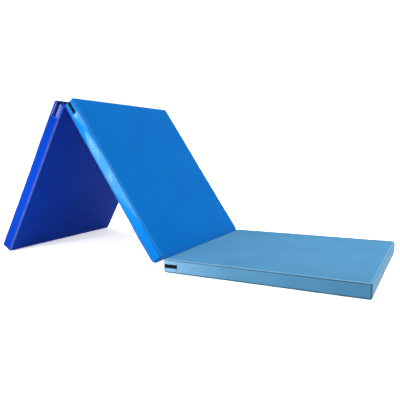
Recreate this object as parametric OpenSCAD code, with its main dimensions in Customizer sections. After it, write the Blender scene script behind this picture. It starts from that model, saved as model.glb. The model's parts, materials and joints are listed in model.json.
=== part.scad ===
// Folding gym mat: three padded panels joined by two fold lines.
//
// The origin is the centre of the right panel's bottom face, on the floor. +X runs along the mat
// towards the right panel's free end, +Y along the fold lines, +Z up.
//
// Every panel is drawn in its own frame first: x runs from its zip end (0) to its other end
// (panel_l), y across the mat, z from its bottom face (0) to its top face (panel_t). Depth means
// the distance inwards from the zip end's outer surface.

/* [Panel] */
// Length of one panel, from its zip end to its other end
panel_l = 632; // [400:1:900]
// Width of the mat, along the fold lines
panel_w = 600; // [400:1:1000]
// Thickness of one panel
panel_t = 45; // [42:1:80]
// Radius of a panel's upright corners
corner_r = 8; // [7:1:20]

/* [Cover] */
// Thickness of the vinyl sheet
sheet_t = 0.8; // [0.5:0.1:0.9]
// Length of gusset along each narrow side, from the zip end
gusset_wrap = 52; // [30:1:120]
// Width of the folded hem behind each gusset strip's free edge
hem_w = 7; // [4:1:8]

/* [Fold] */
// Angle that the middle panel is lifted by, from flat
lift_angle = 56.25; // [5:0.25:65]
// Gap between two panels laid flat
fold_gap = 4; // [3:0.5:8]
// Height of a fold's axis above the faces that it brings together
fold_rise = 1.5; // [1:0.25:3]
// Thickness of a hinge strip
strip_t = 0.8; // [0.5:0.1:1]
// Depth of a hinge strip's edge inside the seam of each panel
strip_hold = 12; // [8:1:20]
// Distance from a hinge strip's end to the panel's narrow side
strip_inset = 12; // [9:1:40]

/* [Zip] */
// Height of the slot between the gusset strips, where the zip shows
zip_window = 13; // [11:1:16]
// Width of one zip tape from the zip's centre line
tape_reach = 14; // [12:0.5:15]
// Thickness of a zip tape
tape_t = 0.6; // [0.4:0.1:0.6]
// Width of the two coils together
coil_w = 6; // [5:0.5:6]
// Gap between the two coils, which the slider's post runs in
coil_gap = 0.9; // [0.8:0.1:1.2]
// Thickness of a coil
coil_t = 2.4; // [2:0.1:2.4]
// Length of the slider's body
slider_l = 10; // [8:0.5:14]
// Width of the slider's body
slider_w = 8.4; // [8.2:0.1:9]
// Length of the pull, from its axis to its tip
pull_l = 24; // [16:1:26]
// Distance from a parked slider's centre to the panel's narrow side
slider_park = 34; // [30:1:60]

/* [Hidden] */
SIDES = ["left", "mid", "right"];
PIECES = ["foam_core", "cover_top", "cover_bottom", "side_band", "gusset_upper", "gusset_lower",
    "zip_tape_upper", "zip_tape_lower", "zip_coil_upper", "zip_coil_lower", "zip_slider", "zip_pull"];
NODES = concat(
    [for (side = SIDES) for (piece = PIECES) str(piece, "_", side)],
    ["hinge_strip_left", "hinge_strip_right"]);
node = "all";
$fn = 48;

// Clearances
cut = 1;              // how far a cutting shape runs past what it cuts
slot_clear = 0.1;     // round a hinge strip inside its seam
zip_clear = 0.3;      // between the slider and the zip that it rides on
groove_clear = 0.6;   // between the slider and the foam

// Heights in a panel's frame
mid_z = panel_t / 2;
slot_t = strip_t + 2 * slot_clear;
high_slot_z = panel_t - sheet_t - slot_t;

// Depths behind the zip end's surface
tape_depth = 2 * sheet_t;
coil_depth = tape_depth + tape_t / 2 - coil_t / 2;
plate_t = 1;
top_plate_depth = coil_depth - zip_clear - plate_t;
bottom_plate_depth = coil_depth + coil_t + zip_clear;
groove_depth = bottom_plate_depth + plate_t + groove_clear;

// Slider and pull
flange_w = slider_w / 2 - coil_w / 2 - zip_clear;
post_w = coil_gap - 2 * zip_clear + 0.1;
post_l = 2.4;
wire_t = 0.7;               // bar of the slider's bridge
bridge_l = 5.8;
bridge_w = 1.2;
bridge_rise = 1.8;          // height of the bridge over the top plate
pull_t = 0.8;
pull_axis_depth = top_plate_depth - (bridge_rise - wire_t) / 2;
pull_w = 5;
eye_w = 2;                  // opening of the pull's eye, along the zip's width
eye_l = 3.4;                // reach of the eye's opening from the pull's axis
eye_rim = 1;
park_y = slider_park - panel_w / 2;

// Folds. The lean of the left panel is the angle at which its lower edge meets the floor.
fold_x = -panel_l / 2 - fold_gap / 2;
fold_z = panel_t + fold_rise;
fold_pitch = panel_l + fold_gap;
fold_stack = panel_t + 2 * fold_rise;
apex_x = fold_x - fold_pitch * cos(lift_angle) - fold_stack * sin(lift_angle);
apex_z = fold_z + fold_pitch * sin(lift_angle) - fold_stack * cos(lift_angle);
foot_reach = panel_l + fold_gap / 2;
lean_angle = asin(apex_z / norm([foot_reach, fold_rise])) + atan(fold_rise / foot_reach);

// Puts a panel's frame in its place. The left panel is turned end for end.
module place(side) {
    if (side == "right") {
        translate([-panel_l / 2, 0, 0]) children();
    } else if (side == "mid") {
        translate([fold_x, 0, fold_z])
            rotate([0, lift_angle, 0])
            translate([-fold_gap / 2 - panel_l, 0, -fold_z])
            children();
    } else {
        translate([apex_x, 0, apex_z])
            rotate([0, -lean_angle, 0])
            translate([-fold_gap / 2, 0, fold_rise])
            rotate([0, 0, 180])
            children();
    }
}

// Outline of a panel seen from above, this far inside its outer surface
module panel_outline(inset) {
    r = corner_r - inset;
    difference() {
        translate([inset, inset - panel_w / 2]) square([panel_l - 2 * inset, panel_w - 2 * inset]);
        for (x = [inset, panel_l - inset])
            for (y = [inset - panel_w / 2, panel_w / 2 - inset])
                translate([x, y]) square(2 * r, center = true);
    }
    for (x = [inset + r, panel_l - inset - r])
        for (y = [inset + r - panel_w / 2, panel_w / 2 - inset - r])
            translate([x, y]) circle(r);
}

// Solid with a panel's outline, between two heights
module panel_slab(inset, low, high) {
    translate([0, 0, low]) linear_extrude(high - low) panel_outline(inset);
}

// Wall that follows a panel's outline, between two depths and two heights
module panel_wall(outer, inner, low, high) {
    translate([0, 0, low])
        linear_extrude(high - low)
        difference() {
            panel_outline(outer);
            panel_outline(inner);
        }
}

// Keeps the part of a panel's wall that runs round its zip end
module zip_end(reach) {
    intersection() {
        children();
        translate([-cut, -panel_w, -cut]) cube([reach + cut, 2 * panel_w, panel_t + 2 * cut]);
    }
}

// Room for a hinge strip's edge, at the zip end or at the other end
module strip_slot(at_zip_end, low) {
    depth = strip_hold + slot_clear;
    translate([at_zip_end ? -cut : panel_l - depth, strip_inset - slot_clear - panel_w / 2, low])
        cube([depth + cut, panel_w - 2 * (strip_inset - slot_clear), slot_t]);
}

// The slots that a panel has: the left and middle panels share the low fold, and the middle and
// right panels the high one
module strip_slots(side) {
    if (side != "right") strip_slot(true, sheet_t);
    if (side == "mid") strip_slot(false, high_slot_z);
    if (side == "right") strip_slot(true, high_slot_z);
}

// Foam block, with the grooves that the zip and the hinge strips press into it
module foam_core(side) {
    color("khaki")
    difference() {
        panel_slab(sheet_t, sheet_t, panel_t - sheet_t);
        zip_end(gusset_wrap + 2 * hem_w)
            panel_wall(0, tape_depth + tape_t, mid_z - tape_reach, mid_z + tape_reach);
        zip_end(gusset_wrap + 2 * hem_w)
            panel_wall(0, groove_depth, mid_z - slider_w / 2 - 1, mid_z + slider_w / 2 + 1);
        strip_slots(side);
    }
}

module cover_top(side) {
    color(vinyl(side)) panel_slab(0, panel_t - sheet_t, panel_t);
}

module cover_bottom(side) {
    color(vinyl(side)) panel_slab(0, 0, sheet_t);
}

// Plain band round the narrow sides and the end without a zip
module side_band(side) {
    color(vinyl(side))
    difference() {
        panel_wall(0, sheet_t, sheet_t, panel_t - sheet_t);
        translate([-cut, -panel_w, 0]) cube([gusset_wrap + cut, 2 * panel_w, panel_t]);
        strip_slots(side);
    }
}

// Gusset strip between a sheet and the zip, with its hem folded in behind its free edge
module gusset(side, low, high, hem_low) {
    color(vinyl(side))
    difference() {
        union() {
            zip_end(gusset_wrap) panel_wall(0, sheet_t, low, high);
            zip_end(gusset_wrap) panel_wall(sheet_t, 2 * sheet_t, hem_low, hem_low + hem_w);
        }
        strip_slots(side);
    }
}

module gusset_upper(side) {
    edge = mid_z + zip_window / 2;
    gusset(side, edge, panel_t - sheet_t, edge);
}

module gusset_lower(side) {
    edge = mid_z - zip_window / 2;
    gusset(side, sheet_t, edge, edge - hem_w);
}

// Zip tape on one side of the centre line; up is 1 for the upper tape and -1 for the lower
module zip_tape(up) {
    color("black")
    zip_end(gusset_wrap + hem_w)
    panel_wall(tape_depth, tape_depth + tape_t,
        mid_z + min(up * coil_w / 2, up * tape_reach), mid_z + max(up * coil_w / 2, up * tape_reach));
}

// One side's coil, with its turns filled in
module zip_coil(up) {
    color("dimgray")
    zip_end(gusset_wrap)
    panel_wall(coil_depth, coil_depth + coil_t,
        mid_z + min(up * coil_gap / 2, up * coil_w / 2), mid_z + max(up * coil_gap / 2, up * coil_w / 2));
}

// Frame of a parked slider: x is depth, y runs along the zip and z across it
module at_slider() {
    translate([0, park_y, mid_z]) children();
}

// Plate of the slider, with a pointed leading end
module slider_plate(depth) {
    half_l = slider_l / 2;
    half_w = slider_w / 2;
    translate([depth, 0, 0])
        rotate([90, 0, 90])
        linear_extrude(plate_t)
        polygon([[half_l, -half_w], [half_l, half_w], [-half_l / 3, half_w],
            [-half_l, half_w / 2], [-half_l, -half_w / 2], [-half_l / 3, -half_w]]);
}

// Flange that holds a coil between a plate and the tape
module slider_flange(depth, up) {
    length = slider_l * 2 / 3;
    translate([depth, slider_l / 2 - length, up > 0 ? slider_w / 2 - flange_w : -slider_w / 2])
        cube([tape_depth - zip_clear - top_plate_depth - plate_t, length, flange_w]);
}

// Slider: two plates joined by a post between the coils, with a bridge for the pull
module zip_slider() {
    color("dimgray")
    at_slider() {
        slider_plate(top_plate_depth);
        slider_plate(bottom_plate_depth);
        for (up = [-1, 1]) {
            slider_flange(top_plate_depth + plate_t, up);
            slider_flange(tape_depth + tape_t + zip_clear, up);
        }
        translate([top_plate_depth + plate_t / 2, -slider_l / 2, -post_w / 2])
            cube([bottom_plate_depth - top_plate_depth, post_l, post_w]);
        slider_bridge();
    }
}

module slider_bridge() {
    translate([top_plate_depth - bridge_rise, -bridge_l / 2, -bridge_w / 2])
    difference() {
        cube([bridge_rise + plate_t / 2, bridge_l, bridge_w]);
        translate([wire_t, wire_t, -cut])
            cube([bridge_rise - wire_t, bridge_l - 2 * wire_t, bridge_w + 2 * cut]);
    }
}

// Pull: an eye hooked through the bridge, and a tab with a round tip
module zip_pull() {
    color("dimgray")
    at_slider()
    translate([pull_axis_depth, 0, 0]) {
        cylinder(h = eye_w + 2 * eye_rim, r = pull_t / 2, center = true);
        translate([-pull_t / 2, 0, 0])
            rotate([90, 0, 90])
            linear_extrude(pull_t)
            pull_outline();
    }
}

// Outline of the pull lying flat, with x along the zip and y across it
module pull_outline() {
    rim_w = eye_w + 2 * eye_rim;
    tip_x = pull_l - pull_w / 2;
    difference() {
        union() {
            translate([0, -rim_w / 2]) square([eye_l + eye_rim, rim_w]);
            translate([eye_l, -pull_w / 2]) square([tip_x - eye_l, pull_w]);
            translate([tip_x, 0]) circle(d = pull_w);
        }
        translate([-cut, -eye_w / 2]) square([eye_l + cut, eye_w]);
    }
}

// A hinge strip in section, seen from its fold's axis: x away from the axis into the first panel,
// z towards the faces that the fold brings together
bend_out = 0.6;             // distance outside a panel's end at which the strip bends
bend_x = fold_gap / 2 - bend_out;
strip_z = -fold_rise - sheet_t - slot_t / 2;
strip_end_x = fold_gap / 2 + strip_hold;

// A point of the second panel, which mirrors the first one and is then turned by angle
function second(p, angle) = [
    -p[0] * cos(angle) + p[1] * sin(angle),
    p[0] * sin(angle) + p[1] * cos(angle)];

// Centre line of the strip, from inside the first panel's seam to inside the second's
function strip_line(angle) = let (end = [strip_end_x, strip_z], bend = [bend_x, strip_z])
    [end, bend, second(bend, angle), second(end, angle)];

// One side of a strip of this centre line, with mitred bends
function normal(from, to) = let (d = to - from) [-d[1], d[0]] / norm(d);
function mitre(n, m) = (n + m) / (1 + n * m);
function strip_side(line, out) = let (n = [for (i = [0:2]) normal(line[i], line[i + 1])])
    [line[0] + out * n[0], line[1] + out * mitre(n[0], n[1]),
        line[2] + out * mitre(n[1], n[2]), line[3] + out * n[2]];

// Hinge strip with the fold's axis along y through the origin
module hinge_strip(angle) {
    line = strip_line(angle);
    back = strip_side(line, -strip_t / 2);
    rotate([90, 0, 0])
        linear_extrude(panel_w - 2 * strip_inset, center = true)
        polygon(concat(strip_side(line, strip_t / 2), [for (i = [3:-1:0]) back[i]]));
}

// Joins the left and middle panels. Seen from the middle panel, this fold turns the left one down.
module hinge_strip_left() {
    color(vinyl("left"))
    translate([apex_x, 0, apex_z])
        rotate([0, lift_angle, 0])
        mirror([0, 0, 1])
        hinge_strip(lift_angle + lean_angle);
}

// Joins the middle and right panels
module hinge_strip_right() {
    color(vinyl("mid"))
    translate([fold_x, 0, fold_z])
        hinge_strip(lift_angle);
}

function vinyl(side) = side == "left" ? "royalblue" : side == "mid" ? "dodgerblue" : "skyblue";
function shown(name) = node == "all" || node == name;

for (side = SIDES) {
    if (shown(str("foam_core_", side))) place(side) foam_core(side);
    if (shown(str("cover_top_", side))) place(side) cover_top(side);
    if (shown(str("cover_bottom_", side))) place(side) cover_bottom(side);
    if (shown(str("side_band_", side))) place(side) side_band(side);
    if (shown(str("gusset_upper_", side))) place(side) gusset_upper(side);
    if (shown(str("gusset_lower_", side))) place(side) gusset_lower(side);
    if (shown(str("zip_tape_upper_", side))) place(side) zip_tape(1);
    if (shown(str("zip_tape_lower_", side))) place(side) zip_tape(-1);
    if (shown(str("zip_coil_upper_", side))) place(side) zip_coil(1);
    if (shown(str("zip_coil_lower_", side))) place(side) zip_coil(-1);
    if (shown(str("zip_slider_", side))) place(side) zip_slider();
    if (shown(str("zip_pull_", side))) place(side) zip_pull();
}
if (shown("hinge_strip_left")) hinge_strip_left();
if (shown("hinge_strip_right")) hinge_strip_right();
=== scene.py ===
"""Folding gym mat: the looks of its covers, zips, hinge strips, seams and foam, round the CAD frame.

Each panel is shaped in its own frame, as in the CAD: x runs from its zip end (0) to its other end,
y across the mat and z from its bottom face (0) to its top face. PLACES puts a panel where it stands.
Lengths are in metres; MM turns a figure in millimetres into metres.
"""
import json
import math

import bpy
import numpy as np
from mathutils import Matrix, Vector, noise


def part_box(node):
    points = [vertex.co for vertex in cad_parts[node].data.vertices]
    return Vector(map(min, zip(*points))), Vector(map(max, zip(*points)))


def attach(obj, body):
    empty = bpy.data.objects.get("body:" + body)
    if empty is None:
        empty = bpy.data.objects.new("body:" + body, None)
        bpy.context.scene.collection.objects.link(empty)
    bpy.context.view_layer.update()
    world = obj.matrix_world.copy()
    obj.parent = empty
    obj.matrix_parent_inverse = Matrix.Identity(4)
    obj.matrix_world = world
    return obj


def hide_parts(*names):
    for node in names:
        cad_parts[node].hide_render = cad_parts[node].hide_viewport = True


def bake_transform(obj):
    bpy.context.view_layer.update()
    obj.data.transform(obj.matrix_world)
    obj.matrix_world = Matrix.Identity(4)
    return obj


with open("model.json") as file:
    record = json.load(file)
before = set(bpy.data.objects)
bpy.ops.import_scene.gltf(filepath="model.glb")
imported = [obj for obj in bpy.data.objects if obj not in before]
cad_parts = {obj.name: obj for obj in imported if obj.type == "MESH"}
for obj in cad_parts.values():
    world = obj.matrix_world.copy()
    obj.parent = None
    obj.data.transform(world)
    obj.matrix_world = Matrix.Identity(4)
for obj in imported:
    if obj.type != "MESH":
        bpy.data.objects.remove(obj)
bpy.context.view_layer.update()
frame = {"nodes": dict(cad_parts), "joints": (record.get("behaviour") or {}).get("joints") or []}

MM = 0.001
SIDES = ("left", "mid", "right")

# ---- sizes and places, from the frame

PANEL_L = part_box("cover_top_right")[1].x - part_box("cover_top_right")[0].x
PANEL_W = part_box("cover_top_right")[1].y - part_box("cover_top_right")[0].y
PANEL_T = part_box("cover_top_right")[1].z
MID_Z = PANEL_T / 2
CORNER_R = 8 * MM

JOINTS = {j["name"]: j for j in frame["joints"]}
FOLD_AT = Vector(JOINTS["fold_right"]["pos_m"])
FOLD_GAP = -2 * (PANEL_L / 2 + FOLD_AT.x)
FOLD_RISE = FOLD_AT.z - PANEL_T
LIFT = math.radians(-JOINTS["fold_right"]["range_deg"][0])
FOLDED = math.radians(-JOINTS["fold_left"]["range_deg"][0])
PITCH = PANEL_L + FOLD_GAP


def turned_about(x, z, angle):
    """A turn by angle about the line along y through this x and z."""
    point = Vector((x, 0, z))
    return Matrix.Translation(point) @ Matrix.Rotation(angle, 4, "Y") @ Matrix.Translation(-point)


LIFTED = turned_about(FOLD_AT.x, FOLD_AT.z, LIFT)
PLACES = {
    "right": Matrix.Translation((-PANEL_L / 2, 0, 0)),
    "mid": LIFTED @ Matrix.Translation((-PANEL_L / 2 - PITCH, 0, 0)),
    "left": LIFTED
    @ turned_about(FOLD_AT.x - PITCH, -FOLD_RISE, -FOLDED)
    @ Matrix.Translation((FOLD_AT.x - PITCH - FOLD_GAP / 2, 0, 0))
    @ Matrix.Rotation(math.pi, 4, "Z"),
}


def local_box(piece, side):
    """Lowest and highest corner of a panel's CAD node in the panel's own frame."""
    back = PLACES[side].inverted()
    points = np.array([back @ v.co for v in frame["nodes"][f"{piece}_{side}"].data.vertices])
    return points.min(0), points.max(0)


WINDOW_LOW = local_box("gusset_lower", "right")[1][2]
WINDOW_HIGH = local_box("gusset_upper", "right")[0][2]
GUSSET_WRAP = local_box("gusset_upper", "right")[1][0]
TAPE_LOW, TAPE_HIGH = local_box("zip_tape_upper", "right")
TAPE_DEPTH = TAPE_LOW[0]
TAPE_REACH = TAPE_HIGH[2] - MID_Z
COIL_LOW, COIL_HIGH = local_box("zip_coil_upper", "right")


# ---- materials

def linear(red, green, blue):
    """An sRGB colour, 0 to 255, as linear values with alpha."""
    def one(c):
        c /= 255
        return c / 12.92 if c <= 0.04045 else ((c + 0.055) / 1.055) ** 2.4
    return (one(red), one(green), one(blue), 1.0)


def darkened(colour, share):
    return tuple(share * c for c in colour[:3]) + (1,)


class Graph:
    """A node tree that is built by adding nodes, each with the values or links at its inputs."""

    def __init__(self, tree):
        self.tree = tree

    def fill(self, node, values):
        """Sets a node's inputs, and links those whose value is another node's output."""
        for name, value in values.items():
            if isinstance(value, bpy.types.NodeSocket):
                self.tree.links.new(value, node.inputs[name])
            else:
                node.inputs[name].default_value = value
        return node

    def add(self, kind, values):
        return self.fill(self.tree.nodes.new("ShaderNode" + kind), values)

    def place(self):
        return self.add("TexCoord", {}).outputs["Object"]

    def attribute(self, name):
        node = self.add("Attribute", {})
        node.attribute_name = name
        return node.outputs["Fac"]

    def noise(self, scale, detail, place):
        values = {"Scale": scale, "Detail": detail, "Vector": place}
        return self.add("TexNoise", values).outputs["Fac"]

    def product(self, first, second):
        """The product of two values, held between 0 and 1."""
        node = self.add("Math", {})
        node.operation = "MULTIPLY"
        node.use_clamp = True
        return self.fill(node, {0: first, 1: second}).outputs[0]

    def mix(self, share, first, second):
        """A colour that is first where share is 0, and second where it is 1."""
        node = self.add("Mix", {})
        node.data_type = "RGBA"
        return self.fill(node, {"Factor": share, "A": first, "B": second}).outputs["Result"]

    def spread(self, value, limits):
        """A value from 0 to 1, spread between other limits."""
        return self.add("MapRange", {"Value": value, **limits}).outputs["Result"]

    def bump(self, height, strength, distance, **more):
        values = {"Height": height, "Strength": strength, "Distance": distance, **more}
        return self.add("Bump", values).outputs["Normal"]


def new_material(name, values):
    """A material with these values on its shader, and its graph, shader and texture place."""
    material = bpy.data.materials.new(name)
    material.use_nodes = True
    graph = Graph(material.node_tree)
    shader = graph.fill(material.node_tree.nodes["Principled BSDF"], values)
    return material, graph, shader, graph.place()


SCUFF_HIGHLIGHT_GAIN = 1.5
SEAM_SHADE = 0.28
VINYL_ROUGHNESS = {"To Min": 0.47, "To Max": 0.63}


def vinyl(name, colour, dark, scuffed_highlight_colour, gloss_colour, gloss=0.09):
    """PVC-coated cloth: a fine pebbled grain, cloudy colour, paler along rolls and creases from rubbing and
    painted highlights, darker in seams from dirt and painted shade.
    """
    material, graph, shader, place = new_material(
        name, {"Specular IOR Level": gloss, "Specular Tint": gloss_colour})
    cloud = graph.spread(graph.noise(7, 3, place), {"From Min": 0.3, "From Max": 0.62})
    scuff_and_highlight = graph.product(graph.attribute("scuff_and_highlight"), graph.noise(160, 4, place))
    base = graph.mix(cloud, dark, colour)
    # Paler towards the scuffed colour along the rolls, crease crests and narrow sides: partly real rubbing,
    # partly painted highlight.
    base = graph.mix(graph.product(scuff_and_highlight, SCUFF_HIGHLIGHT_GAIN), base, scuffed_highlight_colour)
    # Darker in the seams, at the upright corners and at the folds: partly dirt, partly painted shade.
    base = graph.mix(graph.attribute("seam"), base, darkened(colour, SEAM_SHADE))
    pebbles = graph.add("TexVoronoi", {"Scale": 900, "Vector": place})
    pebbles.feature = "SMOOTH_F1"
    slack = graph.bump(graph.noise(22, 2, place), 0.12, 4 * MM)
    graph.fill(shader, {
        "Base Color": base,
        "Roughness": graph.spread(graph.noise(38, 5, place), VINYL_ROUGHNESS),
        "Normal": graph.bump(pebbles.outputs["Distance"], 0.16, 0.3 * MM, Normal=slack),
    })
    return material


def woven(name, colour, roughness, scale):
    """A close twill, for zip tape."""
    material, graph, shader, place = new_material(
        name, {"Roughness": roughness, "Specular IOR Level": 0.08})
    twill = graph.add("TexWave", {"Scale": scale, "Vector": place})
    twill.bands_direction = "DIAGONAL"
    threads = twill.outputs["Fac"]
    graph.fill(shader, {
        "Base Color": graph.mix(threads, darkened(colour, 0.45), colour),
        "Normal": graph.bump(threads, 0.5, 0.2 * MM),
    })
    return material


def speckled(name, colour, other, scale, roughness, metallic=0.0, bump=0.2, depth=0.2 * MM, specular=0.3):
    """A material whose colour and surface vary in fine grains: thread, coil, metal and foam."""
    material, graph, shader, place = new_material(
        name, {"Specular IOR Level": specular, "Roughness": roughness, "Metallic": metallic})
    grains = graph.noise(scale, 4, place)
    graph.fill(shader, {
        "Base Color": graph.mix(grains, other, colour),
        "Normal": graph.bump(grains, bump, depth),
    })
    return material


VINYL = {
    "left": vinyl(
        "vinyl_royal", linear(0, 38, 126), linear(0, 34, 119), linear(104, 120, 200),
        gloss_colour=(0.03, 0.6, 1, 1), gloss=0.04),
    "mid": vinyl(
        "vinyl_azure", linear(0, 88, 158), linear(0, 84, 152), linear(92, 136, 184),
        gloss_colour=(0.04, 0.7, 1, 1)),
    "right": vinyl(
        "vinyl_sky", linear(63, 113, 146), linear(59, 108, 141), linear(128, 161, 187),
        gloss_colour=(0.7, 0.9, 1, 1)),
}
THREAD = {
    "left": speckled("thread_royal", linear(140, 150, 214), linear(104, 118, 190), 2500, 0.7),
    "mid": speckled("thread_azure", linear(84, 148, 200), linear(60, 126, 184), 2500, 0.7),
    "right": speckled("thread_sky", linear(116, 156, 184), linear(96, 138, 170), 2500, 0.7),
}
TAPE = woven("zip_tape", linear(26, 30, 38), 0.85, 260)
COIL = speckled("zip_coil", linear(22, 26, 34), linear(14, 17, 23), 1500, 0.7, specular=0.06)
METAL = speckled("zip_metal", linear(44, 45, 48), linear(26, 27, 29), 700, 0.32, metallic=0.6, bump=0.08)
FOAM = speckled("foam", linear(226, 214, 180), linear(196, 182, 146), 420, 0.95, bump=0.6, depth=0.8 * MM)


# ---- small mesh tools

def add_piece(name, vertices, faces, material, side=None):
    """A new mesh object. Given a side, its vertices are in that panel's frame."""
    mesh = bpy.data.meshes.new(name)
    mesh.from_pydata([tuple(v) for v in vertices], [], [tuple(f) for f in faces])
    if side:
        mesh.transform(PLACES[side])
    mesh.materials.append(material)
    mesh.polygons.foreach_set("use_smooth", [True] * len(mesh.polygons))
    mesh.update()
    piece = bpy.data.objects.new(name, mesh)
    bpy.context.scene.collection.objects.link(piece)
    return piece


def finish_piece(piece, node, side, body="panel"):
    """Puts a piece on a body of its side in place of a CAD node."""
    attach(piece, f"{body}_{side}")
    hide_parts(f"{node}_{side}")


def subdivided(piece):
    modifier = piece.modifiers.new("smooth", "SUBSURF")
    modifier.levels = 1
    modifier.render_levels = 1
    return piece


def thickened(piece, thickness):
    modifier = piece.modifiers.new("thickness", "SOLIDIFY")
    modifier.thickness = thickness
    modifier.offset = -1
    return piece


def steps(start, end, size):
    """Evenly spaced values from start to end, about size apart."""
    count = max(1, round((end - start) / size))
    return [start + (end - start) * i / count for i in range(count + 1)]


def join_lists(*lists):
    """One rising list from several that may share their ends."""
    joined = []
    for value in (v for values in lists for v in values):
        if not joined or value > joined[-1] + 0.1 * MM:
            joined.append(value)
    return joined


def lattice(columns, rows):
    """The faces of a sheet whose points are listed column by column."""
    starts = [i * rows + j for i in range(columns - 1) for j in range(rows - 1)]
    return [(a, a + 1, a + rows + 1, a + rows) for a in starts]


def tube_faces(rings, sides):
    """The faces of a closed tube whose points are listed ring by ring."""
    last = (rings - 1) * sides
    faces = []
    for a in range(last):
        b = a + 1 if (a + 1) % sides else a + 1 - sides
        faces.append((a, b, b + sides, a + sides))
    return faces + [tuple(reversed(range(sides))), tuple(range(last, last + sides))]


def merged(parts):
    """Several (vertices, faces) as one."""
    vertices, faces = [], []
    for some_vertices, some_faces in parts:
        faces += [[k + len(vertices) for k in face] for face in some_faces]
        vertices += list(some_vertices)
    return vertices, faces


# ---- the skin of a block

class Skin:
    """A closed grid round a flat block with rounded upright corners.

    rings are (distance in from the outline, height) from the top face's edge to the bottom face's.
    The first and the last one are the borders of the two faces, radius in from the outline.
    """

    def __init__(self, x_lines, y_lines, rings, radius, corner_turns):
        self.x_lines, self.y_lines, self.rings = x_lines, y_lines, rings
        self.stations = self.rim_stations(radius, corner_turns)
        flat = np.array([(x, y, 0.0) for x in x_lines for y in y_lines])
        outline = np.array([place for _, place, _ in self.stations])
        outward = np.array([out for _, _, out in self.stations])
        rim = [
            np.column_stack([outline - outward * inset, np.full(len(outline), z)])
            for inset, z in rings[1:-1]
        ]
        top, bottom = flat + (0, 0, rings[0][1]), flat + (0, 0, rings[-1][1])
        self.points = np.concatenate([top, bottom] + rim)
        self.face_size = len(flat)
        self.faces, self.where = [], []
        self.add_flat_faces()
        self.add_rim_faces()

    def rim_stations(self, radius, corner_turns):
        """Places round the rim, anticlockwise from above: (border point, outline point, outward)."""
        xs, ys = self.x_lines, self.y_lines
        columns, rows = len(xs), len(ys)
        near, far = ys[0] - radius, ys[-1] + radius
        sides = [
            [(i, 0, (xs[i], near), (0, -1)) for i in range(columns)],
            [(columns - 1, j, (xs[-1] + radius, ys[j]), (1, 0)) for j in range(rows)],
            [(i, rows - 1, (xs[i], far), (0, 1)) for i in reversed(range(columns))],
            [(0, j, (xs[0] - radius, ys[j]), (-1, 0)) for j in reversed(range(rows))],
        ]
        stations = []
        for index, places in enumerate(sides):
            stations += [(i * rows + j, place, out) for i, j, place, out in places]
            i, j = places[-1][:2]
            for turn in range(1, corner_turns):
                angle = math.radians(-90 + 90 * (index + turn / corner_turns))
                out = np.array((math.cos(angle), math.sin(angle)))
                place = np.array((xs[i], ys[j])) + radius * out
                stations.append((i * rows + j, tuple(place), tuple(out)))
        return stations

    def at(self, ring, station):
        """Index of the point where a ring meets a station."""
        if ring == 0:
            return self.stations[station][0]
        if ring == len(self.rings) - 1:
            return self.face_size + self.stations[station][0]
        return 2 * self.face_size + (ring - 1) * len(self.stations) + station

    def add_flat_faces(self):
        rows, count = len(self.y_lines), self.face_size
        for i in range(len(self.x_lines) - 1):
            for j in range(rows - 1):
                a, b = i * rows + j, (i + 1) * rows + j
                self.faces.append((a, b, b + 1, a + 1))
                self.faces.append((count + a, count + a + 1, count + b + 1, count + b))
                self.where += ["top", "bottom"]

    def add_rim_faces(self):
        for ring in range(len(self.rings) - 1):
            for s in range(len(self.stations)):
                t = (s + 1) % len(self.stations)
                corners = self.at(ring, s), self.at(ring + 1, s), self.at(ring + 1, t), self.at(ring, t)
                self.faces.append(tuple(dict.fromkeys(corners)))
                self.where.append((ring, s, t))

    def normals(self):
        """A unit normal at each point."""
        mesh = bpy.data.meshes.new("normals")
        mesh.from_pydata([tuple(p) for p in self.points], [], self.faces)
        mesh.update()
        normals = np.zeros(len(self.points) * 3)
        mesh.vertices.foreach_get("normal", normals)
        bpy.data.meshes.remove(mesh)
        return normals.reshape(-1, 3)


# ---- the cover's grid and its seams

CROSS_SEAM = GUSSET_WRAP - 1 * MM     # joins the gusset to the plain band on each narrow side
TOPSTITCH = 3.2 * MM                  # from a seam to the row of stitches beside it
SEAM_HALF = 0.9 * MM

# Lines across the panel's faces. They are close together where the narrow sides pucker.
PUCKERED = CROSS_SEAM + 160 * MM
X_LINES = join_lists(
    steps(CORNER_R, CROSS_SEAM - TOPSTITCH, 1.5 * MM),
    [CROSS_SEAM - SEAM_HALF, CROSS_SEAM, CROSS_SEAM + SEAM_HALF],
    steps(CROSS_SEAM + TOPSTITCH, PUCKERED, 4.5 * MM),
    steps(PUCKERED, PANEL_L - CORNER_R, 8 * MM),
)
Y_LINES = steps(CORNER_R - PANEL_W / 2, PANEL_W / 2 - CORNER_R, 7.5 * MM)
CORNER_TURNS = 6

# The rim in section, as (distance in from the outline, drop from the face): the stitched valley,
# the roll over the edge, and the seam that joins the sheet to the band.
EDGE = [
    (CORNER_R, 0.25 * MM),
    (6.6 * MM, 0.3 * MM),
    (5.2 * MM, 0.65 * MM),
    (3.8 * MM, 0.25 * MM),
    (1.8 * MM, 0.35 * MM),
    (0.5 * MM, 1.3 * MM),
    (0.2 * MM, 2.8 * MM),
    (2.4 * MM, 3.5 * MM),
    (0.2 * MM, 4.2 * MM),
]
VALLEY = 2
SEAM = 7
BAND_ROWS = join_lists(
    steps(EDGE[-1][1], PANEL_T - WINDOW_HIGH - TOPSTITCH, 2.1 * MM)[1:],
    steps(PANEL_T - WINDOW_HIGH, PANEL_T - WINDOW_LOW, 3.2 * MM),
    steps(PANEL_T - WINDOW_LOW + TOPSTITCH, PANEL_T - EDGE[-1][1], 2.1 * MM)[:-1],
)
RINGS = (
    [(inset, PANEL_T - drop) for inset, drop in EDGE]
    + [(0.0, PANEL_T - drop) for drop in BAND_ROWS]
    + [(inset, drop) for inset, drop in reversed(EDGE)]
)
LAST_RING = len(RINGS) - 1
LOW_SEAM = LAST_RING - SEAM

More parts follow.
